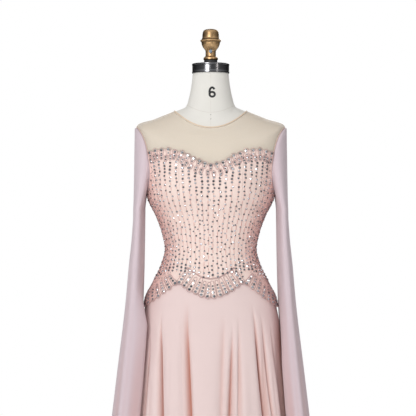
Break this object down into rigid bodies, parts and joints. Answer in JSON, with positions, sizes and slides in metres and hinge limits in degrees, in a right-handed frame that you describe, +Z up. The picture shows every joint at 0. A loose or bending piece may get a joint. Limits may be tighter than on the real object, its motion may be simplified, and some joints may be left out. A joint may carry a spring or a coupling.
{
  "type": "evening dress on dress form",
  "caption": "Floor-length evening dress with sheer yoke, beaded scalloped bodice, chiffon skirt and long open cape sleeves, worn by a limbless dress form on a round base.",
  "frame": {"origin": "centre of the round base's underside, on the floor under the pole", "axes": "+Z up along the pole, -Y the way the dress faces, +X towards the right of the picture"},
  "size_m": [0.659, 0.5876, 1.684],
  "materials": {
    "zip": "woven zip tape",
    "bodice_back": "beaded mesh",
    "bodice_centre": "beaded mesh with clear stones",
    "bodice_side": "densely beaded mesh",
    "form_base": "black enamel",
    "form_finial": "aged",
    "form_screw": "plain",
    "form_cap": "polished",
    "form_pole": "plain",
    "form_canvas": "plain canvas",
    "form_washer": "matt",
    "binding": "fine knit binding",
    "skirt_back": "blush chiffon",
    "skirt_front": "blush chiffon",
    "sleeve": "blush chiffon",
    "yoke": "sheer mesh"
  },
  "bodies": {
    "root": {"back_zip": "zip", "bodice_back_left": "bodice_back", "bodice_back_right": "bodice_back", "bodice_centre_front": "bodice_centre", "bodice_side_front_left": "bodice_side", "bodice_side_front_right": "bodice_side", "form_base": "form_base", "form_finial": "form_finial", "form_finial_screw": "form_screw", "form_neck_cap": "form_cap", "form_pole": "form_pole", "form_torso": "form_canvas", "form_washer": "form_washer", "neck_binding": "binding", "skirt_back_left": "skirt_back", "skirt_back_right": "skirt_back", "skirt_front": "skirt_front", "sleeve_left": "sleeve", "sleeve_right": "sleeve", "yoke_back_left": "yoke", "yoke_back_right": "yoke", "yoke_front": "yoke"}
  },
  "joints": []
}
